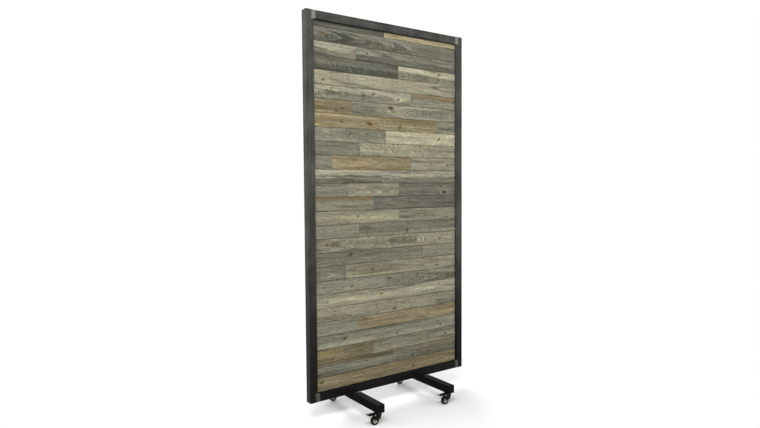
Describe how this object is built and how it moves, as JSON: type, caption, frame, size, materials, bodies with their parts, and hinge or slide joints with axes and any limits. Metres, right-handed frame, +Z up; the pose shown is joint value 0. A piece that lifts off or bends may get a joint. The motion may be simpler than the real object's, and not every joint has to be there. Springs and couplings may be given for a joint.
{
  "type": "rolling room divider",
  "caption": "Tall framed wall panel on cross feet with braked swivel casters, a square steel tube frame clad with narrow reclaimed boards on both faces.",
  "frame": {"origin": "on the floor, under the middle of the wall", "axes": "+Z up; +X along the wall, from the left post to the right post as seen from the front; the front face looks towards -Y"},
  "size_m": [1.2192, 0.5588, 2.4384],
  "materials": {
    "frame_steel": "blackened raw steel under a satin clear coat",
    "weld_steel": "ground bright under the clear coat",
    "plywood": "plain plywood",
    "reclaimed_wood": "weathered grey-brown, dry and matt",
    "zinc": "zinc plated",
    "cap_plastic": "fine moulded texture",
    "caster_paint": "black electrocoat, semi gloss",
    "hub_metal": "bright plated, slightly dull",
    "caster_rubber": "matt black, lightly worn tread"
  },
  "bodies": {
    "root": {"left_post": "frame_steel", "right_post": "frame_steel", "top_rail": "frame_steel", "bottom_rail": "frame_steel", "post_caps": "frame_steel", "corner_welds": "weld_steel", "core_board": "plywood", "panel_lugs": "frame_steel", "lug_screws": "zinc", "front_boards_1": "reclaimed_wood", "front_boards_2": "reclaimed_wood", "front_boards_3": "reclaimed_wood", "front_boards_4": "reclaimed_wood", "front_boards_5": "reclaimed_wood", "front_boards_6": "reclaimed_wood", "front_boards_7": "reclaimed_wood", "front_boards_8": "reclaimed_wood", "front_boards_9": "reclaimed_wood", "back_boards_1": "reclaimed_wood", "back_boards_2": "reclaimed_wood", "back_boards_3": "reclaimed_wood", "back_boards_4": "reclaimed_wood", "back_boards_5": "reclaimed_wood", "back_boards_6": "reclaimed_wood", "back_boards_7": "reclaimed_wood", "back_boards_8": "reclaimed_wood", "back_boards_9": "reclaimed_wood", "left_foot": "frame_steel", "right_foot": "frame_steel", "foot_caps": "cap_plastic", "foot_welds": "weld_steel", "stem_nuts": "zinc", "caster_stems": "zinc", "swivel_balls": "zinc"},
    "caster_1_swivel": {"caster_1_fork": "caster_paint", "caster_1_axle": "zinc"},
    "caster_1_wheel": {"caster_1_hub": "hub_metal", "caster_1_tyre": "caster_rubber"},
    "caster_1_brake": {"caster_1_pedal": "caster_paint"},
    "caster_2_swivel": {"caster_2_fork": "caster_paint", "caster_2_axle": "zinc"},
    "caster_2_wheel": {"caster_2_hub": "hub_metal", "caster_2_tyre": "caster_rubber"},
    "caster_2_brake": {"caster_2_pedal": "caster_paint"},
    "caster_3_swivel": {"caster_3_fork": "caster_paint", "caster_3_axle": "zinc"},
    "caster_3_wheel": {"caster_3_hub": "hub_metal", "caster_3_tyre": "caster_rubber"},
    "caster_3_brake": {"caster_3_pedal": "caster_paint"},
    "caster_4_swivel": {"caster_4_fork": "caster_paint", "caster_4_axle": "zinc"},
    "caster_4_wheel": {"caster_4_hub": "hub_metal", "caster_4_tyre": "caster_rubber"},
    "caster_4_brake": {"caster_4_pedal": "caster_paint"}
  },
  "joints": [
    {"name": "caster_1_swivel_turn", "type": "hinge", "parent": "root", "child": "caster_1_swivel", "pos_m": [-0.277, -0.2414, 0.0762], "axis": [0, 0, 1], "continuous": true},
    {"name": "caster_1_wheel_spin", "type": "hinge", "parent": "caster_1_swivel", "child": "caster_1_wheel", "pos_m": [-0.299, -0.2414, 0.0254], "axis": [0, 1, 0], "continuous": true},
    {"name": "caster_1_brake_press", "type": "hinge", "parent": "caster_1_swivel", "child": "caster_1_brake", "pos_m": [-0.303, -0.2414, 0.06204], "axis": [0, -1, 0], "range_deg": [0, 22]},
    {"name": "caster_2_swivel_turn", "type": "hinge", "parent": "root", "child": "caster_2_swivel", "pos_m": [0.277, -0.2414, 0.0762], "axis": [0, 0, 1], "continuous": true},
    {"name": "caster_2_wheel_spin", "type": "hinge", "parent": "caster_2_swivel", "child": "caster_2_wheel", "pos_m": [0.255, -0.2414, 0.0254], "axis": [0, 1, 0], "continuous": true},
    {"name": "caster_2_brake_press", "type": "hinge", "parent": "caster_2_swivel", "child": "caster_2_brake", "pos_m": [0.251, -0.2414, 0.06204], "axis": [0, -1, 0], "range_deg": [0, 22]},
    {"name": "caster_3_swivel_turn", "type": "hinge", "parent": "root", "child": "caster_3_swivel", "pos_m": [-0.277, 0.2414, 0.0762], "axis": [0, 0, 1], "continuous": true},
    {"name": "caster_3_wheel_spin", "type": "hinge", "parent": "caster_3_swivel", "child": "caster_3_wheel", "pos_m": [-0.299, 0.2414, 0.0254], "axis": [0, 1, 0], "continuous": true},
    {"name": "caster_3_brake_press", "type": "hinge", "parent": "caster_3_swivel", "child": "caster_3_brake", "pos_m": [-0.303, 0.2414, 0.06204], "axis": [0, -1, 0], "range_deg": [0, 22]},
    {"name": "caster_4_swivel_turn", "type": "hinge", "parent": "root", "child": "caster_4_swivel", "pos_m": [0.277, 0.2414, 0.0762], "axis": [0, 0, 1], "continuous": true},
    {"name": "caster_4_wheel_spin", "type": "hinge", "parent": "caster_4_swivel", "child": "caster_4_wheel", "pos_m": [0.255, 0.2414, 0.0254], "axis": [0, 1, 0], "continuous": true},
    {"name": "caster_4_brake_press", "type": "hinge", "parent": "caster_4_swivel", "child": "caster_4_brake", "pos_m": [0.251, 0.2414, 0.06204], "axis": [0, -1, 0], "range_deg": [0, 22]}
  ]
}
